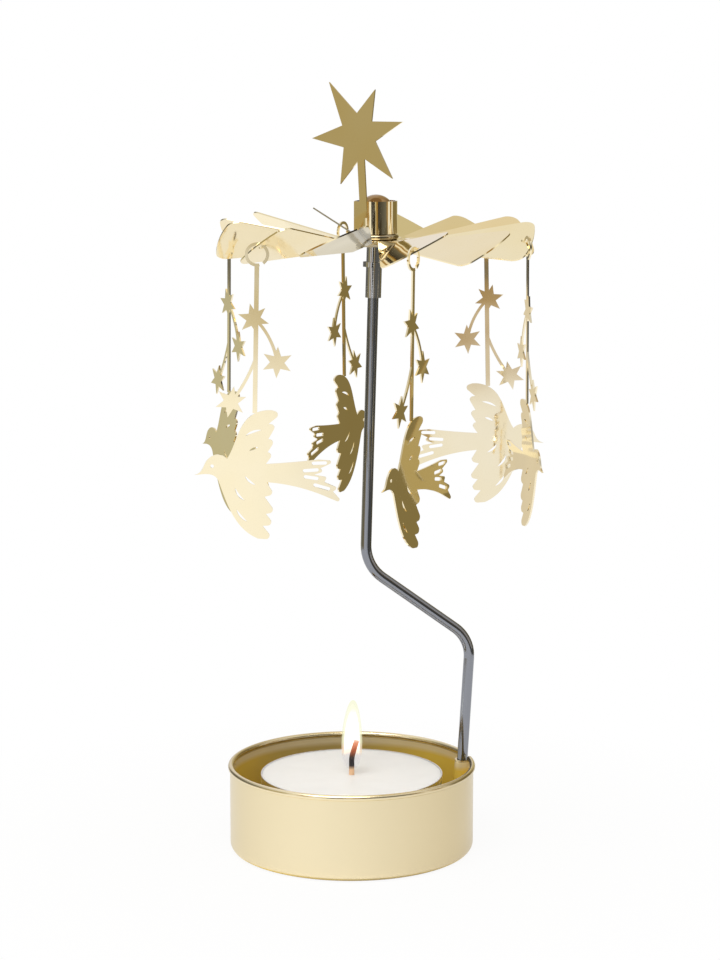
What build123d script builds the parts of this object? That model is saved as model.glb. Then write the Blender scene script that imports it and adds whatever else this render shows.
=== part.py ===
from build123d import *
import math
import os

# Rotary tealight holder: hot air turns a bladed wheel on a needle, and six bird pendants ride round with it.
# Millimetres, +Z up. The origin is the middle of the cup's underside, and the rod stands towards +X.

# Drawn cup
cup_radius = 25.2
cup_height = 17.9
cup_sheet = 0.4
cup_corner = 1.5
rim_bead = 1.2
strap_drop = 0.3
strap_height = 5.2
strap_slit = 0.6

# Bent rod
rod_diameter = 2.2
rod_foot_reach = 0.3
rod_fit = 0.08
knee_height = 42.7
knee_reach = 25.4
knee_radius = 7.5
elbow_height = 59.2
elbow_radius = 8.5
upper_lean = 1.65
seat_gap = 0.05

# Ferrule and needle at the rod's top
pivot_height = 134.5
spindle_x = 5.1
sleeve_diameter = 3.2
sleeve_length = 12.3
sleeve_collar_diameter = 4.5
sleeve_collar_height = 1.0
sleeve_collar_drop = 5.1
needle_diameter = 1.2
needle_reach = 8.0
needle_root = 4.5
needle_taper = 3.0

# Bladed wheel
wheel_radius = 32.2
wheel_drop = 8.7
wheel_sheet = 0.3
hub_radius = 6.2
neck_length = 3.8
neck_dip = 0.8
blade_slit = 1.0
blade_corner = 2.2
hole_diameter = 1.6
hole_inset = 1.5
# Pitch and rise of each blade, bent by hand, in degrees
blade_bends = (
    (29.0, 3.1), (25.0, 2.8), (28.0, 4.8), (32.0, 5.4), (34.0, 3.7), (31.0, 3.2),
    (33.0, 3.4), (30.0, 2.9), (24.0, 7.0), (26.0, 2.3), (24.0, 1.8), (27.0, 3.1))

# Hub cap
cap_radius = 3.9
cap_sheet = 0.35
cap_bead = 1.1
cap_bead_reach = 0.7

# Star topper
topper_sheet = 0.35
topper_bearing = 220.5
collar_height = 6.5
collar_tab = 2.4
collar_slit_start = 212.0
collar_slit_end = 266.0
topper_stem_width = 1.7
topper_stem_shift = 0.9
topper_points = ((14.5, 11.1), (65.6, 9.9), (124.4, 12.6), (184.0, 11.4), (246.0, 10.7), (314.7, 11.8))
topper_valley = 4.3
topper_height = 19.6
topper_shift = 1.4

# Pendants, drawn on a grid with 56 steps from the middle of the hook ring to the lower wing's tip: u runs to
# the bird's tail and w upwards
grid_steps = 56
pendant_length = 56.0
pendant_bearings = (43.0, 43.0, 43.0, 43.0, 43.0, 62.0)
pendant_sheet = 0.35
ring_bore = 3.5
ring_band = 0.6
ring_play = 0.25
ring_gap_start = 284.0
ring_gap_end = 306.0
stem_width = 0.9
branch_width = 0.6
star_points = 6
star_radius = 3.1
star_valley = 1.4
wing_round = 0.7
tail_round = 0.35
slit_width = 0.45
tail_slot_width = 0.7
eye_diameter = 0.7

# Tealight
tealight_radius = 18.8
tealight_height = 15.2
tealight_sheet = 0.25
tealight_corner = 1.2
wax_drop = 0.15
wax_dish = 0.25
wax_shoulder_reach = 0.75
wax_shoulder_depth = 0.8
wick_diameter = 1.1
wick_height = 6.9
wick_straight = 3.4
wick_lean = 17.0
wick_bend = 6.0
sustainer_radius = 6.0
sustainer_sheet = 0.3
sustainer_neck = 3.0

# Clearances
running_gap = 0.1
slip_fit = 0.04

# Heights and places that follow from the sizes above
blade_count = len(blade_bends)
pendant_count = len(pendant_bearings)
blades_per_pendant = blade_count // pendant_count
wheel_z = pivot_height - wheel_drop
sleeve_top = pivot_height - needle_reach
sector = 360 / blade_count
hole_circle = wheel_radius - hole_inset
neck_end = hub_radius + neck_length
collar_bottom = wheel_z + wheel_sheet / 2 + cap_bead + running_gap
grid_step = pendant_length / grid_steps


def turned(points_and_arcs):
    """Solid of revolution about Z of a closed outline drawn in radius and height."""
    return revolve(Plane.XZ * make_face(points_and_arcs), Axis.Z)


def cup_blank(radius, floor, top, corner):
    """Solid bounded by a cup's skin: flat floor, rounded corner and straight wall."""
    foot = Polyline((0, top), (0, floor), (radius - corner, floor))
    bend = CenterArc((radius - corner, floor + corner), corner, -90, 90)
    wall = Polyline((radius, floor + corner), (radius, top), (0, top))
    return turned(foot + bend + wall)


def cup_shell(radius, floor, top, corner, sheet):
    """Open cup of even sheet thickness."""
    outside = cup_blank(radius, floor, top, corner)
    inside = cup_blank(radius - sheet, floor + sheet, top + sheet, corner - sheet)
    return outside - inside


def star_outline(points, valley):
    """Star about the origin from the angle and reach of each point, with a valley midway between points."""
    corners = []
    for k, (angle, reach) in enumerate(points):
        following = points[(k + 1) % len(points)][0]
        between = angle + ((following - angle) % 360) / 2
        for turn, distance in ((angle, reach), (between, valley)):
            corners.append((distance * math.cos(math.radians(turn)), distance * math.sin(math.radians(turn))))
    return make_face(Polyline(*corners, close=True))


def even_star(count, radius, valley, turn):
    """Regular star with one point at the angle turn."""
    return star_outline([(turn + k * 360 / count, radius) for k in range(count)], valley)


def wedge(reach, start, end):
    """Sector of a plane that cuts a slit in a ring."""
    first, last = math.radians(start), math.radians(end)
    far = [(reach * math.cos(a), reach * math.sin(a)) for a in (first, last)]
    return make_face(Polyline((0, 0), *far, close=True))


# The rod's foot reaches a little over the cup's rounded corner. From there it leans out to its knee, cranks
# back and rises to the needle's point.
rod_radius = rod_diameter / 2
foot_x = cup_radius - cup_corner + rod_foot_reach - rod_radius
foot_z = cup_sheet + seat_gap + running_gap
leg_slope = (knee_reach - foot_x) / (knee_height - foot_z)
lean_slope = math.tan(math.radians(upper_lean))


def lower_leg_x(height):
    """Distance of the rod's lower leg from the cup's axis at a height."""
    return foot_x + leg_slope * (height - foot_z)


def upper_leg_x(height):
    """Distance of the rod's upper leg from the cup's axis at a height."""
    return spindle_x - lean_slope * (pivot_height - height)


def holder_cup():
    """Drawn cup with a rolled rim, whose strap is pushed in round the rod."""
    rim_z = cup_height - rim_bead / 2
    strap_bottom = rim_z - strap_drop - strap_height
    shell = cup_shell(cup_radius, 0, rim_z, cup_corner, cup_sheet)
    rim = Pos(0, 0, rim_z) * Torus(cup_radius - cup_sheet / 2, rim_bead / 2)
    bore = rod_radius + rod_fit
    outer = bore + cup_sheet
    notch_floor = strap_bottom - strap_slit
    notch_height = cup_height + cup_sheet - notch_floor
    through_wall = 4 * rod_diameter
    notch = Pos(cup_radius, 0, notch_floor + notch_height / 2) * Box(
        through_wall, 2 * outer - cup_sheet / 2, notch_height)
    # The strap follows the rod's lean: a bend round its inner side and two legs out to the wall
    start_x = lower_leg_x(strap_bottom)
    reach = cup_radius - start_x
    bend = Circle(outer) + Pos(reach / 2, 0) * Rectangle(reach, 2 * outer)
    channel = Circle(bore) + Pos(reach, 0) * Rectangle(2 * reach, 2 * bore)
    strap = Pos(start_x, 0, strap_bottom) * extrude(
        bend - channel, amount=strap_height, dir=(leg_slope, 0, 1))
    strap &= Cylinder(cup_radius, 2 * cup_height)
    return shell + rim - notch + strap


def support_rod():
    """Round wire along the bent centre line, ending inside the ferrule."""
    top_z = sleeve_top - needle_root - seat_gap
    path = Plane.XZ * FilletPolyline(
        (foot_x, foot_z),
        (knee_reach, knee_height),
        (upper_leg_x(elbow_height), elbow_height),
        (upper_leg_x(top_z), top_z),
        radius=[knee_radius, elbow_radius])
    return sweep(Plane(path @ 0, z_dir=path % 0) * Circle(rod_radius), path)


def on_upper_leg(height):
    """Plane across the rod's upper leg at a height, with its normal up the leaning rod."""
    return Plane((upper_leg_x(height), 0, height), x_dir=(1, 0, -lean_slope), z_dir=(lean_slope, 0, 1))


def rod_sleeve():
    """Ferrule with a collar: the rod fills its lower bore and the needle its upper one."""
    outer = sleeve_diameter / 2
    collar = sleeve_collar_diameter / 2
    collar_top = -sleeve_collar_drop
    collar_foot = collar_top - sleeve_collar_height
    rod_bore = rod_radius + slip_fit
    needle_bore = needle_diameter / 2 + slip_fit
    section = Polyline(
        (needle_bore, 0), (outer, 0), (outer, collar_top), (collar, collar_top), (collar, collar_foot),
        (outer, collar_foot), (outer, -sleeve_length), (rod_bore, -sleeve_length),
        (rod_bore, -needle_root), (needle_bore, -needle_root), close=True)
    return on_upper_leg(sleeve_top) * turned(section)


def pivot_needle():
    """Pin that stands on the rod's end, with its point under the cap's dome."""
    radius = needle_diameter / 2
    section = Polyline(
        (0, -needle_root), (radius, -needle_root), (radius, needle_reach - needle_taper),
        (0, needle_reach), close=True)
    return on_upper_leg(sleeve_top) * turned(section)


def blade_half_width(distance):
    """Half of a blade's width at a distance from the spindle, between its two slits."""
    return distance * math.tan(math.radians(sector / 2)) - blade_slit / 2


def fan_bend(k):
    """Move that pitches a blade's flat fan, raises its tip and dips its root below the hub."""
    pitch, rise = blade_bends[k]
    return Pos(neck_end, 0, -neck_dip) * Rot(Y=-rise) * Pos(-neck_end, 0, 0) * Rot(X=pitch)


def blade(k):
    """One blade along +X: flat root, twisted neck and bent flat fan with rounded corners."""
    root = blade_half_width(hub_radius)
    inner = blade_half_width(neck_end)
    side_end = wheel_radius * math.cos(math.radians(sector / 2))
    tip = blade_half_width(side_end)
    sides = Polyline((side_end, -tip), (neck_end, -inner), (neck_end, inner), (side_end, tip))
    fan = make_face(sides + ThreePointArc((side_end, tip), (wheel_radius, 0), (side_end, -tip)))
    fan = fillet(fan.vertices().group_by(Axis.X)[-1], blade_corner)
    if k % blades_per_pendant == 1:
        fan -= Pos(hole_circle, 0) * Circle(hole_diameter / 2)
    flat_face = Plane((hub_radius, 0, 0), x_dir=(0, 1, 0), z_dir=(1, 0, 0)) * Rectangle(2 * root, wheel_sheet)
    fan_face = Plane((neck_end, 0, 0), x_dir=(0, 1, 0), z_dir=(1, 0, 0)) * Rectangle(2 * inner, wheel_sheet)
    neck = loft([flat_face.face(), (fan_bend(k) * fan_face).face()], ruled=True)
    tab_length = hub_radius - cap_radius - slip_fit - running_gap
    tab = Pos(hub_radius - tab_length / 2, 0, 0) * Box(tab_length, 2 * root, wheel_sheet)
    return fan_bend(k) * extrude(fan, wheel_sheet / 2, both=True) + neck + tab


def rotor_wheel():
    """Sheet wheel: a hub ring that the cap is clenched in, and blades that are each bent by hand."""
    hub = Circle(hub_radius - blade_slit / 2) - Circle(cap_radius + slip_fit)
    wheel = extrude(hub, wheel_sheet / 2, both=True)
    for k in range(blade_count):
        wheel += Rot(Z=k * sector) * blade(k)
    return Pos(spindle_x, 0, wheel_z) * wheel


def hub_cap():
    """Domed cap on the needle's point, with a bead above the wheel and a rolled lip below it."""
    inner = cap_radius - cap_sheet
    dome_z = wheel_drop + running_gap / 2 - inner
    top = wheel_sheet / 2
    half = cap_bead / 2
    bead_x = cap_radius + cap_bead_reach - half
    outline = Polyline((inner, -top - cap_bead), (bead_x, -top - cap_bead))
    outline += CenterArc((bead_x, -top - half), half, -90, 180)
    outline += Polyline((bead_x, -top), (cap_radius, -top), (cap_radius, top), (bead_x, top))
    outline += CenterArc((bead_x, top + half), half, -90, 180)
    outline += Polyline((bead_x, top + cap_bead), (cap_radius, top + cap_bead), (cap_radius, dome_z))
    outline += CenterArc((0, dome_z), cap_radius, 0, 90)
    outline += Line((0, dome_z + cap_radius), (0, dome_z + inner))
    outline += CenterArc((0, dome_z), inner, 0, 90)
    outline += Line((inner, dome_z), (inner, -top - cap_bead))
    return Pos(spindle_x, 0, wheel_z) * turned(outline)


def star_topper():
    """Star, stem and collar cut from one sheet: the collar is wrapped round the cap."""
    inner = cap_radius + slip_fit
    outer = inner + topper_sheet
    middle = -(inner + outer) / 2
    band = Circle(outer) - Circle(inner) - wedge(2 * outer, collar_slit_start, collar_slit_end)
    band += Pos(-collar_tab / 2, middle) * Rectangle(collar_tab, topper_sheet)
    collar = extrude(band, collar_height)
    star = Pos(-topper_shift, topper_height) * star_outline(topper_points, topper_valley)
    half = topper_stem_width / 2
    stem_top = topper_height - topper_valley / 2
    stem = make_face(Polyline(
        (-half, collar_height / 2), (half, collar_height / 2), (half - topper_stem_shift, stem_top),
        (-half - topper_stem_shift, stem_top), close=True))
    plate = Pos(0, middle) * extrude(Plane.XZ * (star + stem), topper_sheet / 2, both=True)
    return Pos(spindle_x, 0, collar_bottom) * Rot(Z=topper_bearing + 90) * (collar + plate)


def crescent(start, end, bow):
    """Slit with pointed ends along an arc that bows sideways, widest in its middle."""
    first, last = Vector(*start), Vector(*end)
    side = (last - first).normalized().rotate(Axis.Z, 90)
    middle = (first + last) / 2 + side * bow
    half = side * (slit_width / 2)
    return make_face(ThreePointArc(first, middle + half, last) + ThreePointArc(last, middle - half, first))


def slot(start, end, width):
    """Round-ended slot between the middles of its two ends."""
    first, last = Vector(*start), Vector(*end)
    return SlotCenterPoint((first + last) / 2, last, width)


def feathers(notches, corners, rounding):
    """Edge of a wing or a tail: from notch to notch round the corner of each feather."""
    edge = Curve()
    for start, corner, end in zip(notches, corners, notches[1:]):
        edge += FilletPolyline(start, corner, end, radius=rounding)
    return edge


def drawn(*points):
    """Points given in steps of the pendant's grid, as lengths."""
    return [(u * grid_step, w * grid_step) for u, w in points]


def bird():
    """Swallow-like bird in flight with both wings spread, feather slits, tail slots and an eye."""
    beak, nape, breast = drawn((-11.6, -43.3), (-5.3, -40.0), (-7.0, -44.2))
    upper_tip, lower_tip = drawn((3.4, -30.3), (1.0, -55.75))
    tail_top, tail_low = drawn((2.3, -40.9), (2.5, -44.5))
    upper_tail, lower_tail = drawn((12.5, -39.85), (15.0, -47.5))
    outline = Spline(beak, *drawn((-10.1, -42.1), (-9.4, -40.6), (-8.0, -39.4)), nape)
    outline += Spline(nape, *drawn((-4.4, -38.2), (-3.1, -34.8), (-1.2, -31.8), (1.2, -30.5)), upper_tip)
    outline += feathers(
        [upper_tip, *drawn((2.7, -33.0), (2.7, -36.0), (2.6, -38.6)), tail_top],
        drawn((5.2, -30.9), (4.3, -33.1), (4.1, -36.1), (3.8, -38.8)), wing_round)
    outline += Spline(tail_top, *drawn((8.0, -40.4)), upper_tail)
    outline += feathers(
        [upper_tail, *drawn((12.9, -41.6), (11.7, -42.85), (13.8, -44.3), (15.5, -46.15)), lower_tail],
        drawn((16.0, -40.05), (13.7, -42.2), (14.3, -43.3), (16.5, -45.4), (17.8, -48.6)), tail_round)
    outline += Spline(lower_tail, *drawn((11.3, -46.1), (7.4, -45.1)), tail_low)
    outline += feathers(
        [tail_low, *drawn((2.1, -47.4), (2.4, -50.8), (1.8, -53.2)), lower_tip],
        drawn((4.0, -46.9), (4.3, -50.4), (4.2, -53.0), (4.1, -55.9)), wing_round)
    outline += Spline(lower_tip, *drawn((-2.3, -53.5), (-5.2, -48.8)), breast)
    outline += Spline(breast, *drawn((-8.3, -43.2), (-9.8, -43.1)), beak)
    body = make_face(outline)
    for start, end, bow in (
            ((-1.75, -35.4), (1.4, -34.2), 0.25),
            ((-1.0, -38.4), (0.8, -37.6), 0.1),
            ((-1.75, -43.3), (0.4, -45.1), -0.25),
            ((-3.7, -45.7), (-1.75, -48.2), -0.3),
            ((-3.3, -50.0), (-1.2, -52.4), -0.25)):
        body -= crescent(*drawn(start, end), bow * grid_step)
    for start, end in (
            ((11.6, -40.6), (13.9, -40.5)),
            ((9.9, -42.1), (12.3, -41.9)),
            ((10.1, -43.3), (12.3, -43.6)),
            ((12.0, -44.9), (14.6, -45.6))):
        body -= slot(*drawn(start, end), tail_slot_width)
    eye = drawn((-8.2, -41.5))[0]
    return body - Pos(*eye) * Circle(eye_diameter / 2)


def pendant_plate():
    """Flat outline of a pendant, turned about its ring until its centre of mass hangs under the ring."""
    ring_radius = ring_bore / 2 + ring_band
    plate = Circle(ring_radius) - Circle(ring_bore / 2) - wedge(2 * ring_radius, ring_gap_start, ring_gap_end)
    stem_top = (0, -(ring_bore + ring_band) / 2)
    back, *stars = drawn((0, -30.9), (-0.5, -12.5), (4.2, -20.9), (-4.7, -28.8))
    plate += trace(Line(stem_top, back), stem_width)
    for place, turn in zip(stars, (104, 88, 79)):
        plate += Pos(*place) * even_star(star_points, star_radius, star_valley, turn)
    for branch in (
            ((0.3, -13.0), (2.5, -16.0), (4.0, -20.0)),
            ((0, -20.2), (-1.5, -23.8), (-4.2, -28.3))):
        plate += trace(ThreePointArc(*drawn(*branch)), branch_width)
    plate += bird()
    centre = plate.center(CenterOf.MASS)
    return Rot(Z=-math.degrees(math.atan2(centre.X, -centre.Y))) * plate


def hanging_plane(k):
    """Plane of a pendant about the middle of its hook ring, with X towards the bird's tail.

    The strip of blade between the hole and the outer edge is a chord of the ring's bore, and the ring hangs
    on it with a little play.
    """
    index = 1 + k * blades_per_pendant
    fan = Plane(Pos(spindle_x, 0, wheel_z) * Rot(Z=index * sector) * fan_bend(index))
    outward = Vector(1, 0, 0).rotate(Axis.Z, index * sector - pendant_bearings[k])
    face = outward.rotate(Axis.Z, 90)
    along = face.cross(fan.z_dir).normalized()
    down = face.cross(along)
    near = hole_diameter / 2
    far = hole_inset / along.dot(fan.x_dir)
    seat = ring_bore / 2 - ring_play
    depth = math.sqrt(seat ** 2 - ((far - near) / 2) ** 2) - wheel_sheet / 2
    hole = fan.origin + fan.x_dir * hole_circle
    return Plane(hole + along * ((near + far) / 2) + down * depth, x_dir=-outward, z_dir=face)


# The tealight stands loose in the middle of the cup.
tealight_floor = cup_sheet + seat_gap
wax_floor = tealight_floor + tealight_sheet
wax_top = tealight_floor + tealight_height - wax_drop


def tealight_cup():
    """Thin aluminium cup."""
    top = tealight_floor + tealight_height
    return cup_shell(tealight_radius, tealight_floor, top, tealight_corner, tealight_sheet)


def wick_sustainer():
    """Flanged foot under the wax, whose neck grips the wick."""
    bore = wick_diameter / 2 + slip_fit
    neck = bore + sustainer_sheet
    section = Polyline(
        (bore, 0), (sustainer_radius, 0), (sustainer_radius, sustainer_sheet), (neck, sustainer_sheet),
        (neck, sustainer_neck), (bore, sustainer_neck), close=True)
    return Pos(0, 0, wax_floor + slip_fit) * turned(section)


def tealight_wick():
    """Wick that rises straight through the wax and leans over above it."""
    start = (0, wax_floor + slip_fit)
    bend = (0, wax_top + wick_straight)
    lean = math.radians(wick_lean)
    rise = wax_top + wick_height - bend[1]
    end = (rise * math.tan(lean), bend[1] + rise)
    path = Plane.XZ * FilletPolyline(start, bend, end, radius=wick_bend)
    return sweep(Plane(path @ 0, z_dir=path % 0) * Circle(wick_diameter / 2), path)


def tealight_wax():
    """Wax fill with a shallow dish on top, moulded round the wick and its foot."""
    radius = tealight_radius - tealight_sheet - slip_fit
    corner = tealight_corner - tealight_sheet
    foot = Polyline((0, wax_top - wax_dish), (0, wax_floor + slip_fit), (radius - corner, wax_floor + slip_fit))
    bend = CenterArc((radius - corner, wax_floor + slip_fit + corner), corner, -90, 90)
    wall = Line((radius, wax_floor + slip_fit + corner), (radius, wax_top))
    shoulder = (wax_shoulder_reach * radius, wax_top - wax_shoulder_depth * wax_dish)
    dish = ThreePointArc((radius, wax_top), shoulder, (0, wax_top - wax_dish))
    fill = turned(foot + bend + wall + dish)
    channel = Cylinder(wick_diameter / 2 + slip_fit, 4 * tealight_height)
    pocket = Pos(0, 0, wax_floor) * Cylinder(
        sustainer_radius + slip_fit, sustainer_sheet + 2 * slip_fit,
        align=(Align.CENTER, Align.CENTER, Align.MIN))
    neck_radius = wick_diameter / 2 + 2 * slip_fit + sustainer_sheet
    neck = Pos(0, 0, wax_floor) * Cylinder(
        neck_radius, sustainer_neck + 2 * slip_fit, align=(Align.CENTER, Align.CENTER, Align.MIN))
    return fill - channel - pocket - neck


def build():
    """All pieces by name."""
    pieces = {
        "holder_cup": holder_cup(),
        "support_rod": support_rod(),
        "rod_sleeve": rod_sleeve(),
        "pivot_needle": pivot_needle(),
        "rotor_wheel": rotor_wheel(),
        "hub_cap": hub_cap(),
        "star_topper": star_topper(),
        "tealight_cup": tealight_cup(),
        "tealight_wick": tealight_wick(),
        "wick_sustainer": wick_sustainer(),
        "tealight_wax": tealight_wax(),
    }
    plate = extrude(pendant_plate(), pendant_sheet / 2, both=True)
    for k in range(pendant_count):
        pieces[f"pendant_{k + 1}"] = hanging_plane(k) * plate
    return pieces


os.makedirs("parts", exist_ok=True)
for name, piece in build().items():
    export_step(piece, f"parts/{name}.step")
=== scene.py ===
"""Finishes, flame and stage for a rotary tealight holder whose solids come packed as a frame.

Every solid of the frame gets its metal, wax or wick, a flame is added over the wick, and the stage has the
photograph's camera, a pale room and a white floor. Lengths are in metres, in the frame's own axes.
"""

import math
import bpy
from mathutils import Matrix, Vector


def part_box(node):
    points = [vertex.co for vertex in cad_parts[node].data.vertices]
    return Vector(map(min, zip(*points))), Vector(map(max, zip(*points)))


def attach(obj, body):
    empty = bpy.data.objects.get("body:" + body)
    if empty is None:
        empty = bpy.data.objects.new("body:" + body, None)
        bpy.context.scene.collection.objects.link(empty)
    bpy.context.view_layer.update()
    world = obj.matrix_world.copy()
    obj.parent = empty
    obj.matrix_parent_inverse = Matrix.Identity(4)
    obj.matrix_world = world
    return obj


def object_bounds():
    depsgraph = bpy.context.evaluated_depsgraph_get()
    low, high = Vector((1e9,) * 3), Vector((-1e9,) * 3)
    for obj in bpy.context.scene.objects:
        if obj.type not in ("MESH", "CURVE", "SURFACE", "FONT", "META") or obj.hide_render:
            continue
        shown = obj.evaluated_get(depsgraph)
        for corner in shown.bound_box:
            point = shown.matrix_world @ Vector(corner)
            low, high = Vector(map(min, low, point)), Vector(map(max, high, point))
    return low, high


bl_info = {
    "name": "Rotary Tealight Holder",
    "version": (1, 0, 0),
    "blender": (4, 5, 0),
    "location": "View3D > Sidebar > Tealight Holder",
    "description": "Gives the packed tealight holder its gold, steel, wax, flame and stage",
    "category": "Object",
}

import bpy
import numpy as np
from bpy.props import FloatProperty, FloatVectorProperty, PointerProperty

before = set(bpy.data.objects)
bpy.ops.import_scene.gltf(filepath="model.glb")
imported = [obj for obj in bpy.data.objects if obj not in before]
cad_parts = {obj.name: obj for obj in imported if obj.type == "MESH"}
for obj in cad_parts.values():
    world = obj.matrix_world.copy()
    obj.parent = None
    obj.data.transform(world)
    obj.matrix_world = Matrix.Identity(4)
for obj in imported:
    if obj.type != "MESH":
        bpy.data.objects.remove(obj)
cad_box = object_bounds()
wax_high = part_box("tealight_wax")[1]
wick_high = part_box("tealight_wick")[1]
cup_low, cup_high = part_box("holder_cup")
cap_low, cap_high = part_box("hub_cap")

STEEL_NODES = ("rod_sleeve", "pivot_needle")
WHEEL_NODES = ("rotor_wheel", "star_topper")
PENDANT_NODES = sorted(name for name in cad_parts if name.startswith("pendant_"))

# Depth of a bump at full strength.
SHEET_WAVE = 0.0004
LINE_DEPTH = 0.0001
WAX_RIPPLE = 0.0003
FIBRE_DEPTH = 0.0002

# Lines per metre along each axis of a drawn or turned piece.
ROD_LINES = (4000, 4000, 60)
FERRULE_LINES = (60, 60, 4000)
ALUMINIUM_LINES = (900, 900, 60)

# How much the polish of bright sheet and of the satin cup varies.
SHEET_WEAR = 0.12
CUP_WEAR = 0.03

# Long side of the camera's sensor in millimetres.
SENSOR_LONG_SIDE = 36.0


def colour_property(name, description, default):
    """Linear colour that a user may change."""
    return FloatVectorProperty(
        name=name, description=description, default=default, subtype="COLOR", min=0, max=1)


def share_property(name, description, default):
    """Number from 0 to 1."""
    return FloatProperty(
        name=name, description=description, default=default, subtype="FACTOR", min=0, max=1)


def length_property(name, description, default):
    """Length in metres."""
    return FloatProperty(
        name=name, description=description, default=default, subtype="DISTANCE", unit="LENGTH")


def angle_property(name, description, degrees):
    """Angle, written in degrees."""
    return FloatProperty(
        name=name, description=description, default=math.radians(degrees), subtype="ANGLE")


class GoldSettings(bpy.types.PropertyGroup):
    """Colours and polish of the gold sheet."""

    bright: colour_property("Bright gold", "Colour of clean gold sheet", (0.97, 0.87, 0.63))
    deep: colour_property("Deep gold", "Colour of gold sheet that has darkened a little", (0.94, 0.80, 0.48))
    cap_bright: colour_property("Bright cap", "Colour of the cap's clean brown brass", (0.42, 0.26, 0.11))
    cap_deep: colour_property("Deep cap", "Colour of the cap's darker brass", (0.30, 0.18, 0.075))
    cap_foot: colour_property("Cap foot", "Colour of the bead at the cap's foot", (0.45, 0.38, 0.25))
    pendant_bright: colour_property("Bright pendant", "Colour of a pendant's clean sheet", (0.99, 0.90, 0.69))
    pendant_deep: colour_property("Deep pendant", "Colour of a pendant's darker sheet", (0.97, 0.86, 0.59))
    cup_bright: colour_property("Bright cup", "Colour of the cup's lighter bands", (0.95, 0.84, 0.58))
    # The cup's darker bands are painted shade: away from the lit upright band the outside darkens to this
    # colour.
    cup_painted_shade: colour_property("Deep cup", "Colour of the cup's darker bands", (0.70, 0.595, 0.38))
    # Inside the cup: the cup's gold deepened with painted shade, with a band of painted shade at the back.
    gold_with_hollow_shade: colour_property("Hollow", "Colour of the lacquer inside the cup", (1.0, 0.74, 0.13))
    inside_back_shade: colour_property("Deep lacquer", "Colour of the lacquer's darker band", (0.60, 0.46, 0.17))
    inside_metal: share_property("Lacquer metal", "How metallic the inside of the cup looks", 0.25)
    # Painted light: how far the inside turns back to the cup's gold towards the rim.
    rim_painted_light: share_property("Lacquer fade", "How much the lacquer fades towards the rim", 0.85)
    lit_band_bearing: angle_property("Band bearing", "Where the cup's lighter upright band lies", -125.0)
    # Bearing of the inside's band of painted shade, at the back.
    back_shade_bearing: angle_property("Lacquer bearing", "Where the lacquer's darker band lies", 90.0)
    sheet_roughness: share_property("Sheet roughness", "Roughness of wheel, cap, star and pendants", 0.06)
    cup_roughness: share_property("Cup roughness", "Roughness of the satin cup", 0.22)
    ripple: length_property("Ripple", "Distance from one soft wave of the sheet to the next", 0.014)


class SteelSettings(bpy.types.PropertyGroup):
    """Colours and polish of the rod, the ferrule and the needle."""

    rod: colour_property("Rod steel", "Colour of the drawn rod", (0.28, 0.295, 0.335))
    ferrule: colour_property("Ferrule steel", "Colour of the ferrule and the needle", (0.56, 0.57, 0.60))
    rod_roughness: share_property("Rod roughness", "Roughness of the drawn rod", 0.10)
    ferrule_roughness: share_property("Ferrule roughness", "Roughness of the ferrule", 0.05)


class TealightSettings(bpy.types.PropertyGroup):
    """Colours of the tealight, and the size of its flame."""

    aluminium: colour_property("Aluminium", "Colour of the thin cup", (0.80, 0.80, 0.81))
    aluminium_roughness: share_property("Aluminium roughness", "Roughness of the thin cup", 0.3)
    wax: colour_property("Wax", "Colour of the wax", (0.975, 0.985, 0.99))
    bare_wick: colour_property("Bare wick", "Colour of the wick's unburnt foot", (0.95, 0.62, 0.38))
    char: colour_property("Char", "Colour of the burnt wick", (0.010, 0.007, 0.006))
    ember: colour_property("Ember", "Glow of the wick's tip", (0.70, 0.11, 0.012))
    flame_core: colour_property("Flame core", "Colour in the middle of the flame", (1.0, 0.99, 0.94))
    flame_edge: colour_property("Flame edge", "Colour of the flame's outer veil", (0.94, 0.95, 0.62))
    flame_warm: colour_property("Flame warmth", "Colour of the flame beside the wick", (0.95, 0.74, 0.55))
    flame_foot: colour_property("Flame foot", "Colour of the clear gas at the foot", (0.60, 0.57, 0.66))
    flame_power: FloatProperty(name="Flame power", description="Brightness of the flame's core", default=3.0)
    flame_width: length_property("Flame width", "Widest part of the flame", 0.0043)
    flame_height: length_property("Flame height", "From the flame's foot to its tip", 0.0145)
    flame_lift: length_property("Flame lift", "Height of the flame's foot above the wax", 0.001)
    flame_lean: length_property("Flame lean", "How far the flame's tip leans sideways", 0.0003)


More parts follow.
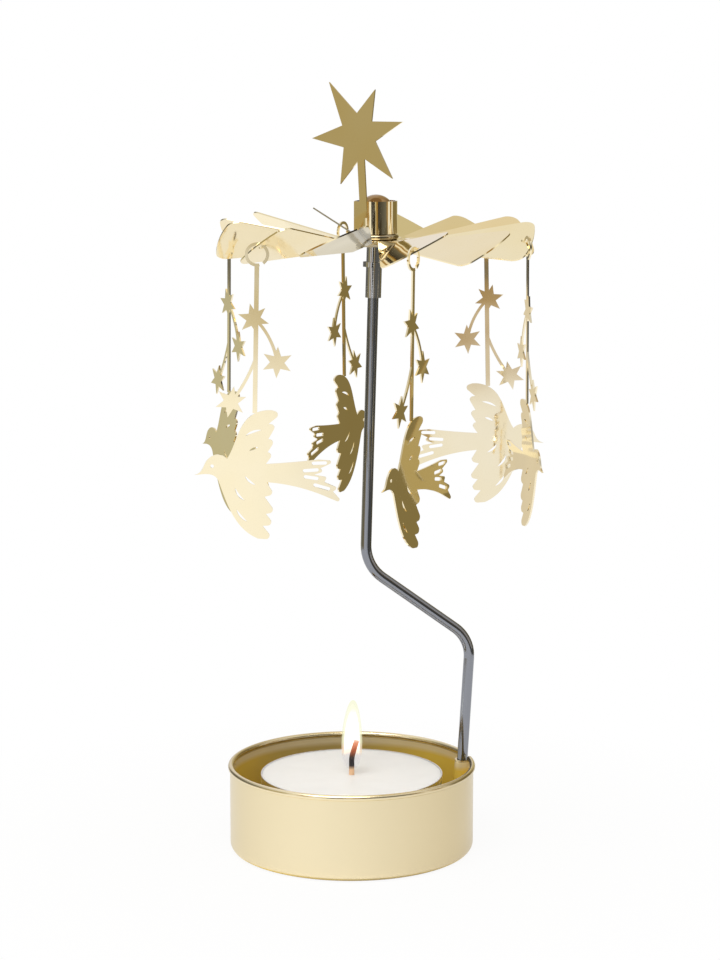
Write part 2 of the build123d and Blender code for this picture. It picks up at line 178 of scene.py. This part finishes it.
class StageSettings(bpy.types.PropertyGroup):
    """Camera of the photograph, lamp, room and floor."""

    bearing: angle_property("Camera bearing", "Turn of the camera about the cup, from the front", 14.0)
    distance: length_property("Camera distance", "Level distance from the cup's axis", 0.5211)
    offset: length_property("Camera offset", "How far the camera stands to the right of the axis", 0.00173)
    height: length_property("Camera height", "Height of the camera above the floor", 0.1612)
    pitch: angle_property("Camera pitch", "How far the camera looks down", 9.17)
    lens: FloatProperty(
        name="Lens", description="Focal length for a 36 mm long side", default=97.2, unit="CAMERA")
    floor_radius: length_property("Floor radius", "Reach of the floor about the cup", 0.22)
    floor: colour_property("Floor", "Colour of the floor", (0.92, 0.92, 0.92))
    shadow: share_property("Shadow", "How much of its shadow the white floor keeps", 0.08)
    mirrored: share_property("Mirrored white", "How white the floor looks in reflections", 0.5)
    key_power: FloatProperty(name="Key power", description="Power of the soft lamp in watts", default=4.6)
    key_size: length_property("Key size", "Width of the soft lamp's disk", 0.8)
    key_side: length_property("Key side", "How far the lamp hangs to the right of the axis", -0.15)
    key_front: length_property("Key front", "How far the lamp hangs in front of the axis", 0.45)
    key_height: length_property("Key height", "Height of the lamp above the floor", 0.85)
    sky: colour_property("Sky", "Bright upper part of the room", (0.87, 0.865, 0.86))
    ceiling: colour_property("Ceiling", "Half-lit ceiling right above", (0.50, 0.41, 0.29))
    pale_wall: colour_property("Pale wall", "Bright sides of the room", (1.0, 0.995, 0.98))
    warm_wall: colour_property("Warm wall", "Warm back of the room", (0.77, 0.69, 0.54))
    grey_wall: colour_property("Grey wall", "Half-lit left of the room", (0.52, 0.50, 0.36))
    cool_wall: colour_property("Cool wall", "Cool light at the back", (0.84, 0.81, 0.81))
    gold_wall: colour_property("Gold wall", "Warm light in front", (0.60, 0.53, 0.32))
    olive_wall: colour_property("Olive wall", "Shaded sides of the room", (0.42, 0.355, 0.195))
    amber_wall: colour_property("Amber wall", "Wooden sides of the room", (0.36, 0.22, 0.055))
    dark_wall: colour_property("Dark wall", "Darkest side of the room", (0.22, 0.175, 0.075))
    dim_wall: colour_property("Dim wall", "Half-dark front of the room", (0.15, 0.145, 0.125))
    shade: colour_property("Shade", "Unlit room behind the camera", (0.035, 0.03, 0.025))


def fill(tree, made, inputs):
    """Fills a node's inputs with values or with other nodes' sockets."""
    for name, value in inputs.items():
        if isinstance(value, bpy.types.NodeSocket):
            tree.links.new(value, made.inputs[name])
        else:
            made.inputs[name].default_value = value


def node(tree, kind, inputs=None, **options):
    """Adds a node, sets its options and fills its inputs."""
    made = tree.nodes.new(kind)
    for name, value in options.items():
        setattr(made, name, value)
    fill(tree, made, inputs or {})
    return made


def maths(tree, operation, *values):
    """Output of a Math node on one, two or three values."""
    return node(tree, "ShaderNodeMath", dict(enumerate(values)), operation=operation).outputs[0]


def opaque(colour):
    """Colour of three numbers as the four of a node's socket."""
    return (*colour, 1.0)


def mixed(tree, share, first, second):
    """Output of a colour mix: first where share is 0, second where it is 1."""
    ends = [end if isinstance(end, bpy.types.NodeSocket) else opaque(end) for end in (first, second)]
    return node(tree, "ShaderNodeMix", {0: share, 6: ends[0], 7: ends[1]}, data_type="RGBA").outputs[2]


def remapped(tree, value, low, high, to_low=0.0, to_high=1.0):
    """Output of a clamped Map Range node."""
    mapped = node(tree, "ShaderNodeMapRange", {
        "Value": value, "From Min": low, "From Max": high, "To Min": to_low, "To Max": to_high})
    return mapped.outputs["Result"]


def ramp(tree, value, stops):
    """Output of a colour ramp through stops of place and colour."""
    made = node(tree, "ShaderNodeValToRGB", {"Fac": value})
    elements = made.color_ramp.elements
    while len(elements) < len(stops):
        elements.new(1.0)
    for element, (place, colour) in zip(elements, stops):
        element.position = place
        element.color = opaque(colour)
    return made.outputs["Color"]


def number_ramp(tree, value, stops):
    """Output of a ramp through stops of place and number."""
    return ramp(tree, value, [(place, (number,) * 3) for place, number in stops])


def noise(tree, place, scale, detail):
    """Output of a Noise node at a place."""
    made = node(tree, "ShaderNodeTexNoise", {"Vector": place, "Scale": scale, "Detail": detail})
    return made.outputs["Fac"]


def height_of(tree, place):
    """Height of a place or of a direction."""
    return node(tree, "ShaderNodeSeparateXYZ", {0: place}).outputs["Z"]


def turn_of(tree, place):
    """Share of a full turn at which a place or a direction lies about the upright axis."""
    return node(tree, "ShaderNodeTexGradient", {"Vector": place}, gradient_type="RADIAL").outputs["Fac"]


def length_of(tree, place):
    """Distance of a place from the origin."""
    return node(tree, "ShaderNodeVectorMath", {0: place}, operation="LENGTH").outputs["Value"]


def product_of(tree, first, second):
    """Product of two vectors, number by number."""
    return node(tree, "ShaderNodeVectorMath", {0: first, 1: second}, operation="MULTIPLY").outputs[0]


def new_group(name, inputs, outputs):
    """Empty shader group with inputs given as name, kind and default, and outputs as name and kind."""
    group = bpy.data.node_groups.new(name, "ShaderNodeTree")
    for label, kind, default in inputs:
        socket = group.interface.new_socket(label, in_out="INPUT", socket_type=kind)
        if default is not None:
            socket.default_value = default
    for label, kind in outputs:
        group.interface.new_socket(label, in_out="OUTPUT", socket_type=kind)
    return group, node(group, "NodeGroupInput").outputs, node(group, "NodeGroupOutput")


def rolled_sheet_group():
    """Shared effect of rolled sheet: soft waves as a height, a tint that wanders and a polish that varies."""
    name = "Rolled sheet"
    if name in bpy.data.node_groups:
        return bpy.data.node_groups[name]
    group, given, out = new_group(
        name,
        [("Vector", "NodeSocketVector", None), ("Scale", "NodeSocketFloat", 70.0),
         ("Bright", "NodeSocketColor", (1, 1, 1, 1)), ("Deep", "NodeSocketColor", (0.8, 0.8, 0.8, 1)),
         ("Roughness", "NodeSocketFloat", 0.15), ("Wear", "NodeSocketFloat", 0.1)],
        [("Height", "NodeSocketFloat"), ("Color", "NodeSocketColor"), ("Roughness", "NodeSocketFloat")])
    waves, patches, rubs = (
        noise(group, given["Vector"], maths(group, "MULTIPLY", given["Scale"], finer), detail)
        for finer, detail in ((1.0, 1.0), (0.6, 3.0), (9.0, 4.0)))
    deep_share = remapped(group, patches, 0.35, 0.75)
    rubbed = remapped(group, rubs, 0.3, 0.7, -1.0, 1.0)
    spread = maths(group, "ADD", 1.0, maths(group, "MULTIPLY", rubbed, given["Wear"]))
    fill(group, out, {
        "Height": waves,
        "Color": mixed(group, deep_share, given["Bright"], given["Deep"]),
        "Roughness": maths(group, "MULTIPLY", given["Roughness"], spread)})
    return group


def drawn_lines_group():
    """Shared effect of drawn or turned metal: fine lines as a height, and a polish that follows them."""
    name = "Drawn lines"
    if name in bpy.data.node_groups:
        return bpy.data.node_groups[name]
    group, given, out = new_group(
        name,
        [("Vector", "NodeSocketVector", None), ("Stretch", "NodeSocketVector", (1, 1, 1)),
         ("Roughness", "NodeSocketFloat", 0.3)],
        [("Height", "NodeSocketFloat"), ("Roughness", "NodeSocketFloat")])
    lines = noise(group, product_of(group, given["Vector"], given["Stretch"]), scale=1.0, detail=3.0)
    spread = remapped(group, lines, 0.3, 0.7, 0.7, 1.4)
    fill(group, out, {
        "Height": lines,
        "Roughness": maths(group, "MULTIPLY", given["Roughness"], spread)})
    return group


def new_material(name):
    """Material with its Principled shader, and the piece's own coordinates."""
    material = bpy.data.materials.new(name)
    material.use_nodes = True
    tree = material.node_tree
    place = node(tree, "ShaderNodeTexCoord").outputs["Object"]
    return material, tree, tree.nodes["Principled BSDF"], place


def bumped(tree, height, strength, distance):
    """Normal that is bumped by a height."""
    bump = node(tree, "ShaderNodeBump", {"Height": height, "Strength": strength, "Distance": distance})
    return bump.outputs["Normal"]


def dress(names, material):
    """Puts a material on CAD nodes."""
    for name in names:
        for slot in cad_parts[name].material_slots:
            slot.material = material


def sheet_material(name, gold, bright, deep, roughness, wear, bump_strength):
    """Rolled sheet metal: its material, node tree, shader, coordinates on the piece, and the sheet's tint."""
    material, tree, shader, place = new_material(name)
    sheet = node(tree, "ShaderNodeGroup", {
        "Vector": place, "Scale": 1 / gold.ripple, "Bright": opaque(bright), "Deep": opaque(deep),
        "Roughness": roughness, "Wear": wear}, node_tree=rolled_sheet_group()).outputs
    fill(tree, shader, {
        "Base Color": sheet["Color"],
        "Metallic": 1.0,
        "Roughness": sheet["Roughness"],
        "Normal": bumped(tree, sheet["Height"], bump_strength, SHEET_WAVE)})
    return material, tree, shader, place, sheet["Color"]


def gold_material(name, gold, bright, deep, bump_strength):
    """Bright gold sheet."""
    return sheet_material(name, gold, bright, deep, gold.sheet_roughness, SHEET_WEAR, bump_strength)[0]


def cap_material(gold):
    """Brown brass on the dome that turns greyer at the bead, below the middle of the cap's height."""
    material, tree, shader, place, brass = sheet_material(
        "Cap brass", gold, gold.cap_bright, gold.cap_deep, gold.sheet_roughness, SHEET_WEAR,
        bump_strength=0.1)
    middle = (cap_low.z + cap_high.z) / 2
    blend = 0.0005
    low = remapped(tree, height_of(tree, place), middle - blend, middle + blend, 1.0, 0.0)
    fill(tree, shader, {"Base Color": mixed(tree, low, brass, gold.cap_foot)})
    return material


def cup_material(gold):
    """Satin gold whose outside darkens to a painted shade away from a lit upright band, and whose inside is
    the gold deepened with painted shade.

    A band's share follows cos(2 a) at the angle a from its bearing about the cup's axis: it is 0 where the
    cosine is at or under the band's start, and 1 where the cosine is 1. The inside is where the distance from
    that axis is less than the middle of the wall, below the rolled rim. A second band darkens the inside with
    painted shade at the back, and towards the rim the inside turns to the cup's gold as painted light.
    """
    inner, outer = (share * (cup_high.y - cup_low.y) / 2 for share in (0.971, 0.978))
    fade_low, fade_high, rim_low, rim_high = (share * cup_high.z for share in (0.82, 0.88, 0.92, 0.945))
    material, tree, shader, place, tint = sheet_material(
        "Cup gold", gold, gold.cup_bright, gold.cup_bright, gold.cup_roughness, CUP_WEAR,
        bump_strength=0.02)
    turn = turn_of(tree, place)
    shares = []
    # The first band darkens the outside to painted shade away from it; the second darkens the inside with
    # painted shade at the back.
    for bearing, start in ((gold.lit_band_bearing, -1.0), (gold.back_shade_bearing, -0.4)):
        double = maths(tree, "MULTIPLY_ADD", turn, 4 * math.pi, -2 * bearing)
        shares.append(remapped(tree, maths(tree, "COSINE", double), start, 1.0))
    band, dark = shares
    reach = length_of(tree, product_of(tree, place, (1.0, 1.0, 0.0)))
    height = height_of(tree, place)
    within = remapped(tree, reach, inner, outer, 1.0, 0.0)
    below = remapped(tree, height, rim_low, rim_high, 1.0, 0.0)
    inside = maths(tree, "MULTIPLY", within, below)
    # Painted light: towards the rim the inside turns to the cup's gold.
    rim_light = remapped(tree, height, fade_low, fade_high, 0.0, gold.rim_painted_light)
    # Outside: the cup's gold, darkened to painted shade between the lit bands.
    satin = mixed(tree, band, gold.cup_painted_shade, tint)
    # Inside: the gold deepened with painted shade, darker at the back, with painted light towards the rim.
    shaded_inside = mixed(tree, rim_light, mixed(tree, dark, gold.gold_with_hollow_shade, gold.inside_back_shade), gold.cup_bright)
    fill(tree, shader, {
        "Base Color": mixed(tree, inside, satin, shaded_inside),
        "Metallic": remapped(tree, inside, 0.0, 1.0, 1.0, gold.inside_metal)})
    return material


def drawn_material(name, colour, roughness, lines, bump_strength):
    """Metal with fine lines, which run along the axes that have few lines per metre."""
    material, tree, shader, place = new_material(name)
    drawn = node(
        tree, "ShaderNodeGroup", {"Vector": place, "Stretch": lines, "Roughness": roughness},
        node_tree=drawn_lines_group()).outputs
    fill(tree, shader, {
        "Base Color": opaque(colour),
        "Metallic": 1.0,
        "Roughness": drawn["Roughness"],
        "Normal": bumped(tree, drawn["Height"], bump_strength, LINE_DEPTH)})
    return material


def wax_material(tealight):
    """Milky wax: soft light under the skin, and faint cloudy ripples."""
    material, tree, shader, place = new_material("Tealight wax")
    clouds = noise(tree, place, scale=220.0, detail=3.0)
    darker = [0.97 * part for part in tealight.wax]
    fill(tree, shader, {
        "Base Color": mixed(tree, remapped(tree, clouds, 0.4, 0.7), tealight.wax, darker),
        "Roughness": 0.42,
        "Subsurface Weight": 0.35,
        "Subsurface Radius": (1.0, 0.95, 0.9),
        "Subsurface Scale": 0.002,
        "Normal": bumped(tree, clouds, 0.1, WAX_RIPPLE)})
    return material


def wick_material(tealight):
    """Wick that is bare cotton at the wax, charred above it, and glows over the upper half of what shows."""
    char_start, char_full, ember_start, ember_full = 0.12, 0.24, 0.5, 0.9
    material, tree, shader, place = new_material("Charred wick")
    fibres = noise(tree, place, scale=2600.0, detail=2.0)
    ash = [min(1.0, 8 * part) for part in tealight.char]
    burnt = mixed(tree, remapped(tree, fibres, 0.45, 0.75), tealight.char, ash)
    rise = remapped(tree, height_of(tree, place), wax_high.z, wick_high.z)
    charred = remapped(tree, rise, char_start, char_full)
    glowing = remapped(tree, rise, ember_start, ember_full)
    fill(tree, shader, {
        "Base Color": mixed(tree, charred, tealight.bare_wick, burnt),
        "Roughness": 0.9,
        "Emission Color": mixed(tree, glowing, (0, 0, 0), tealight.ember),
        "Emission Strength": 1.0,
        "Normal": bumped(tree, fibres, 0.6, FIBRE_DEPTH)})
    return material


def flame_material(name, foot, tip, colours, near, far, power):
    """Glowing gas: its colour and how solid it looks change from the foot to the tip.

    The near wall of a shell is clear over the wick, and the far wall behind the wick is more solid.
    """
    material, tree, shader, place = new_material(name)
    rise = remapped(tree, height_of(tree, place), foot, tip)
    behind = node(tree, "ShaderNodeNewGeometry").outputs["Backfacing"]
    fill(tree, shader, {
        "Base Color": (0, 0, 0, 1),
        "Specular IOR Level": 0.0,
        "Emission Color": ramp(tree, rise, colours),
        "Emission Strength": power,
        "Alpha": mixed(tree, behind, number_ramp(tree, rise, near), number_ramp(tree, rise, far))})
    return material


def new_object(name, vertices, faces):
    """Object in the scene with a mesh of the given vertices and faces."""
    mesh = bpy.data.meshes.new(name)
    mesh.from_pydata(vertices.tolist(), [], faces)
    made = bpy.data.objects.new(name, mesh)
    bpy.context.scene.collection.objects.link(made)
    return made


def closed_turning(name, radii, heights, lean, sides):
    """Closed surface of revolution whose axis leans: rings of the given radii and heights between two poles.

    Each ring is a circle about the axis, moved sideways by lean times the square of its share of the height.
    The first and the last radius are nought: these rings are the two poles.
    """
    turn = np.linspace(0, 2 * np.pi, sides, endpoint=False)
    shift = lean * ((heights - heights[0]) / (heights[-1] - heights[0])) ** 2
    rings = np.stack([
        shift[1:-1, None] + radii[1:-1, None] * np.cos(turn),
        radii[1:-1, None] * np.sin(turn),
        np.broadcast_to(heights[1:-1, None], (len(radii) - 2, sides))], axis=-1).reshape(-1, 3)
    poles = np.array([[shift[0], 0, heights[0]], [shift[-1], 0, heights[-1]]])
    along = np.arange(sides)
    following = (along + 1) % sides
    starts = sides * np.arange(len(radii) - 3)[:, None]
    walls = np.stack([
        starts + along, starts + following, starts + sides + following, starts + sides + along], axis=-1)
    last = sides * (len(radii) - 3)
    foot = np.stack([following, along, np.full(sides, len(rings))], axis=-1)
    tip = np.stack([last + along, last + following, np.full(sides, len(rings) + 1)], axis=-1)
    faces = walls.reshape(-1, 4).tolist() + foot.tolist() + tip.tolist()
    made = new_object(name, np.concatenate([rings, poles]), faces)
    made.data.polygons.foreach_set("use_smooth", np.ones(len(faces), bool))
    return made


def flame_shell(name, width, lean, foot, tip, material):
    """One shell of the flame: half its width times sin(pi t^belly)^bluntness at the share t of its height.

    The rings lie closer together towards the two poles, at t = (1 - cos(pi s)) / 2 for even steps of s.
    """
    belly = 0.69
    bluntness = 0.45
    rings = 49
    sides = 40
    share = (1 - np.cos(np.pi * np.linspace(0, 1, rings))) / 2
    radii = width / 2 * np.sin(np.pi * share ** belly).clip(0) ** bluntness
    shell = closed_turning(name, radii, foot + (tip - foot) * share, lean, sides)
    shell.data.materials.append(material)
    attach(shell, "tealight")
    return shell


class HOLDER_OT_finish_cup(bpy.types.Operator):
    """Gives the drawn cup its satin gold"""

    bl_idname = "tealight_holder.finish_cup"
    bl_label = "Finish Cup"

    def execute(self, context):
        gold = context.scene.holder_gold
        dress(["holder_cup"], cup_material(gold))
        return {"FINISHED"}


class HOLDER_OT_finish_steel(bpy.types.Operator):
    """Gives the rod its drawn steel, and the ferrule and the needle their bright steel"""

    bl_idname = "tealight_holder.finish_steel"
    bl_label = "Finish Rod and Ferrule"

    def execute(self, context):
        steel = context.scene.holder_steel
        dress(["support_rod"], drawn_material(
            "Rod steel", steel.rod, steel.rod_roughness, ROD_LINES, bump_strength=0.03))
        dress(STEEL_NODES, drawn_material(
            "Ferrule steel", steel.ferrule, steel.ferrule_roughness, FERRULE_LINES, bump_strength=0.02))
        return {"FINISHED"}


class HOLDER_OT_finish_wheel(bpy.types.Operator):
    """Gives the wheel and the star their bright gold sheet, and the cap its browner brass"""

    bl_idname = "tealight_holder.finish_wheel"
    bl_label = "Finish Wheel and Star"

    def execute(self, context):
        gold = context.scene.holder_gold
        dress(WHEEL_NODES, gold_material("Wheel gold", gold, gold.bright, gold.deep, bump_strength=0.2))
        dress(["hub_cap"], cap_material(gold))
        return {"FINISHED"}


class HOLDER_OT_finish_pendants(bpy.types.Operator):
    """Gives the hanging birds and stars their bright gold sheet"""

    bl_idname = "tealight_holder.finish_pendants"
    bl_label = "Finish Pendants"

    def execute(self, context):
        gold = context.scene.holder_gold
        dress(PENDANT_NODES, gold_material(
            "Pendant gold", gold, gold.pendant_bright, gold.pendant_deep, bump_strength=0.15))
        return {"FINISHED"}


class HOLDER_OT_finish_tealight(bpy.types.Operator):
    """Gives the tealight its aluminium, wax and charred wick"""

    bl_idname = "tealight_holder.finish_tealight"
    bl_label = "Finish Tealight"

    def execute(self, context):
        tealight = context.scene.holder_tealight
        dress(["tealight_cup", "wick_sustainer"], drawn_material(
            "Thin aluminium", tealight.aluminium, tealight.aluminium_roughness, ALUMINIUM_LINES,
            bump_strength=0.15))
        dress(["tealight_wax"], wax_material(tealight))
        dress(["tealight_wick"], wick_material(tealight))
        return {"FINISHED"}


class HOLDER_OT_light_flame(bpy.types.Operator):
    """Adds the flame: a pale veil and a mantle round a white core"""

    bl_idname = "tealight_holder.light_flame"
    bl_label = "Light Flame"

    def execute(self, context):
        tealight = context.scene.holder_tealight
        foot = wax_high.z + tealight.flame_lift
        rise = tealight.flame_height
        core, edge = tealight.flame_core, tealight.flame_edge
        warm, clear = tealight.flame_warm, tealight.flame_foot
        glow = [(first + second) / 2 for first, second in zip(edge, core)]
        # Each shell's name, share of the flame's size and brightness, then its colours and how solid its near
        # and far walls look, at shares of the flame's height.
        shells = (
            ("veil", 1.0, 1.0,
             [(0.0, clear), (0.16, clear), (0.22, warm), (0.3, warm), (0.38, edge), (1.0, edge)],
             [(0.0, 0.03), (0.3, 0.03), (0.45, 0.2), (0.8, 0.3), (1.0, 0.45)],
             [(0.0, 0.14), (0.16, 0.2), (0.24, 0.7), (0.34, 0.6), (0.8, 0.3), (1.0, 0.45)]),
            ("mantle", 0.88, 1.2,
             [(0.0, warm), (0.25, warm), (0.36, glow), (1.0, glow)],
             [(0.0, 0.0), (0.38, 0.0), (0.5, 0.25), (0.8, 0.3), (0.93, 0.1)],
             [(0.0, 0.0), (0.18, 0.0), (0.3, 0.35), (0.8, 0.3), (0.93, 0.1)]),
            ("core", 0.74, tealight.flame_power,
             [(0.0, warm), (0.25, warm), (0.36, core), (1.0, core)],
             [(0.0, 0.0), (0.4, 0.0), (0.52, 0.4), (0.66, 0.45), (0.84, 0.05)],
             [(0.0, 0.0), (0.18, 0.0), (0.3, 0.55), (0.66, 0.7), (0.84, 0.05)]))
        for name, share, power, colours, near, far in shells:
            material = flame_material(f"Flame {name}", foot, foot + rise, colours, near, far, power)
            tip = foot + (share + 1) / 2 * rise
            flame_shell(
                f"flame_{name}", share * tealight.flame_width, tealight.flame_lean, foot, tip, material)
        return {"FINISHED"}


def room_world(stage):
    """Sky of a pale room: bright above and below, and walls whose brightness changes with the bearing.

    The ramps run round the horizon from the left, over the camera's side at a quarter, the right at a half
    and the back at three quarters. From below upwards they are a table, a skirting, a ledge, the walls and
    what is above them. Each gives way to the next between two heights of a direction. The camera sees plain
    white.
    """
    world = bpy.data.worlds.new("Pale room")
    world.use_nodes = True
    tree = world.node_tree
    tree.nodes.clear()
    look = node(tree, "ShaderNodeTexCoord").outputs["Generated"]
    turned = node(
        tree, "ShaderNodeMapping", {"Vector": look, "Rotation": (0, 0, stage.bearing)}, vector_type="VECTOR")
    turn = turn_of(tree, turned.outputs[0])
    height = height_of(tree, look)
    pale, warm, cool, grey = stage.pale_wall, stage.warm_wall, stage.cool_wall, stage.grey_wall
    gold, olive, amber = stage.gold_wall, stage.olive_wall, stage.amber_wall
    dark, dim, shade, sky = stage.dark_wall, stage.dim_wall, stage.shade, stage.sky
    left = [(0.00, dim), (0.07, dim), (0.09, amber), (0.12, warm), (0.15, pale)]
    front = [
        (0.18, shade), (0.232, shade), (0.237, gold), (0.249, gold), (0.253, amber), (0.27, amber),
        (0.28, shade), (0.40, dim)]
    back = [(0.54, dark), (0.66, dark), (0.69, gold), (0.725, gold), (0.74, cool), (0.80, cool)]
    behind = [
        (0.54, dim), (0.56, dark), (0.63, dark), (0.66, dim), (0.80, dim), (0.83, warm), (0.88, warm),
        (0.91, grey)]
    above = ramp(tree, turn, [(0.60, sky), (0.66, warm), (0.70, warm), (0.74, sky)])
    walls = ramp(tree, turn, [
        (0.00, olive), (0.08, olive), (0.09, pale), (0.105, pale), (0.115, amber), (0.14, amber),
        (0.15, pale), (0.17, pale), *front, (0.43, amber), (0.45, pale), (0.465, pale), (0.475, amber),
        (0.50, amber), (0.51, pale), (0.52, pale), *back, (0.84, dim), (0.98, dim), (1.00, olive)])
    ledge = ramp(tree, turn, [
        *left, (0.248, pale), (0.2515, dim), (0.44, dim), (0.46, pale), (0.48, pale), (0.50, dim),
        (0.54, dim), (0.56, dark), (0.63, dark), (0.66, dim), (1.00, dim)])
    skirting = ramp(tree, turn, [
        *left, (0.225, pale), (0.235, gold), (0.249, gold), (0.253, amber), (0.29, amber), (0.31, dim),
        *behind, (1.00, dim)])
    table = ramp(tree, turn, [
        (0.00, olive), (0.07, olive), *left[2:], (0.25, pale), (0.254, sky), (0.32, sky), (0.335, dim),
        *behind, (1.00, olive)])
    ceiling_line = (0.88, 0.93)
    upper = mixed(tree, remapped(tree, height, *ceiling_line), above, stage.ceiling)
    # Heights between which each level takes over from the one below it.
    levels = (
        (-0.42, -0.22, table),
        (-0.13, -0.088, skirting),
        (-0.087, -0.083, ledge),
        (-0.07, -0.066, walls),
        (0.35, 0.85, upper))
    room = pale
    for low, high, level in levels:
        room = mixed(tree, remapped(tree, height, low, high), room, level)
    seen = node(tree, "ShaderNodeLightPath").outputs["Is Camera Ray"]
    shown = mixed(tree, seen, room, (1.0, 1.0, 1.0))
    background = node(tree, "ShaderNodeBackground", {"Color": shown, "Strength": 1.0})
    node(tree, "ShaderNodeOutputWorld", {"Surface": background.outputs[0]})
    return world


def floor_material(stage):
    """White floor: white to the camera, partly white to reflections, and with a little shadow by the cup."""
    material = bpy.data.materials.new("White floor")
    material.use_nodes = True
    tree = material.node_tree
    tree.nodes.clear()
    path = node(tree, "ShaderNodeLightPath").outputs
    direct = maths(tree, "MAXIMUM", path["Is Camera Ray"], path["Is Transmission Ray"])
    mirrored = maths(tree, "MULTIPLY", path["Is Glossy Ray"], stage.mirrored)
    seen = maths(tree, "MAXIMUM", direct, mirrored)
    reach = length_of(tree, node(tree, "ShaderNodeTexCoord").outputs["Object"])
    near = stage.floor_radius / 6
    far = stage.floor_radius / 2
    kept = remapped(tree, reach, near, far, 1 - stage.shadow, 1.0)
    lit = node(tree, "ShaderNodeBsdfDiffuse", {"Color": opaque(stage.floor)})
    white = node(tree, "ShaderNodeEmission", {"Color": (1, 1, 1, 1), "Strength": 1.0})
    mix = node(tree, "ShaderNodeMixShader", {
        0: maths(tree, "MULTIPLY", seen, kept), 1: lit.outputs[0], 2: white.outputs[0]})
    node(tree, "ShaderNodeOutputMaterial", {"Surface": mix.outputs[0]})
    return material


def floor_disc(radius, level):
    """Round floor: a ring of points about a middle one."""
    sides = 96
    turn = np.linspace(0, 2 * np.pi, sides, endpoint=False)
    edge = np.stack([radius * np.cos(turn), radius * np.sin(turn), np.full(sides, level)], axis=-1)
    along = np.arange(sides)
    faces = np.stack([along, (along + 1) % sides, np.full(sides, sides)], axis=-1)
    return new_object("floor", np.concatenate([edge, [[0, 0, level]]]), faces.tolist())


class HOLDER_OT_set_stage(bpy.types.Operator):
    """Adds the camera, the room, the soft lamp and the floor"""

    bl_idname = "tealight_holder.set_stage"
    bl_label = "Set Stage"

    def execute(self, context):
        scene = context.scene
        stage = scene.holder_stage
        scene.view_settings.view_transform = "Standard"
        scene.world = room_world(stage)
        floor = floor_disc(stage.floor_radius, cad_box[0].z)
        floor.data.materials.append(floor_material(stage))
        right = np.array([math.cos(stage.bearing), -math.sin(stage.bearing), 0.0])
        ahead = np.array([math.sin(stage.bearing), math.cos(stage.bearing), 0.0])
        up = np.array([0.0, 0.0, 1.0])
        lens = bpy.data.cameras.new("photo_camera")
        lens.sensor_width = SENSOR_LONG_SIDE
        lens.lens = stage.lens
        camera = bpy.data.objects.new("photo_camera", lens)
        camera.location = stage.offset * right - stage.distance * ahead + stage.height * up
        camera.rotation_euler = (math.pi / 2 - stage.pitch, 0, -stage.bearing)
        scene.collection.objects.link(camera)
        scene.camera = camera
        lamp = bpy.data.lights.new("soft_lamp", "AREA")
        lamp.shape = "DISK"
        lamp.size = stage.key_size
        lamp.energy = stage.key_power
        key = bpy.data.objects.new("soft_lamp", lamp)
        key.location = stage.key_side * right - stage.key_front * ahead + stage.key_height * up
        middle = (cad_box[0] + cad_box[1]) / 2
        key.rotation_euler = (key.location - middle).to_track_quat("Z", "Y").to_euler()
        scene.collection.objects.link(key)
        return {"FINISHED"}


class HOLDER_PT_panel(bpy.types.Panel):
    """Lists the steps and the settings that they read"""

    bl_idname = "HOLDER_PT_panel"
    bl_label = "Tealight Holder"
    bl_space_type = "VIEW_3D"
    bl_region_type = "UI"
    bl_category = "Tealight Holder"

    def draw(self, context):
        layout = self.layout
        for step in STEPS:
            layout.operator(step.bl_idname)
        for attribute, group in SETTINGS.items():
            box = layout.box()
            box.label(text=group.__doc__)
            for name in group.__annotations__:
                box.prop(getattr(context.scene, attribute), name)


SETTINGS = {
    "holder_gold": GoldSettings,
    "holder_steel": SteelSettings,
    "holder_tealight": TealightSettings,
    "holder_stage": StageSettings,
}
STEPS = (
    HOLDER_OT_finish_cup,
    HOLDER_OT_finish_steel,
    HOLDER_OT_finish_wheel,
    HOLDER_OT_finish_pendants,
    HOLDER_OT_finish_tealight,
    HOLDER_OT_light_flame,
    HOLDER_OT_set_stage,
)


def register():
    """Adds the settings, the steps and the panel."""
    for group in SETTINGS.values():
        bpy.utils.register_class(group)
    for attribute, group in SETTINGS.items():
        setattr(bpy.types.Scene, attribute, PointerProperty(type=group))
    for step in STEPS:
        bpy.utils.register_class(step)
    bpy.utils.register_class(HOLDER_PT_panel)


def unregister():
    """Takes the panel, the steps and the settings away."""
    bpy.utils.unregister_class(HOLDER_PT_panel)
    for step in reversed(STEPS):
        bpy.utils.unregister_class(step)
    for attribute in SETTINGS:
        delattr(bpy.types.Scene, attribute)
    for group in SETTINGS.values():
        bpy.utils.unregister_class(group)


def main():
    """Adds the settings, the steps and the panel, then runs every step in order."""
    register()
    bpy.ops.tealight_holder.finish_cup()
    bpy.ops.tealight_holder.finish_steel()
    bpy.ops.tealight_holder.finish_wheel()
    bpy.ops.tealight_holder.finish_pendants()
    bpy.ops.tealight_holder.finish_tealight()
    bpy.ops.tealight_holder.light_flame()
    bpy.ops.tealight_holder.set_stage()


if __name__ == "__main__":
    main()
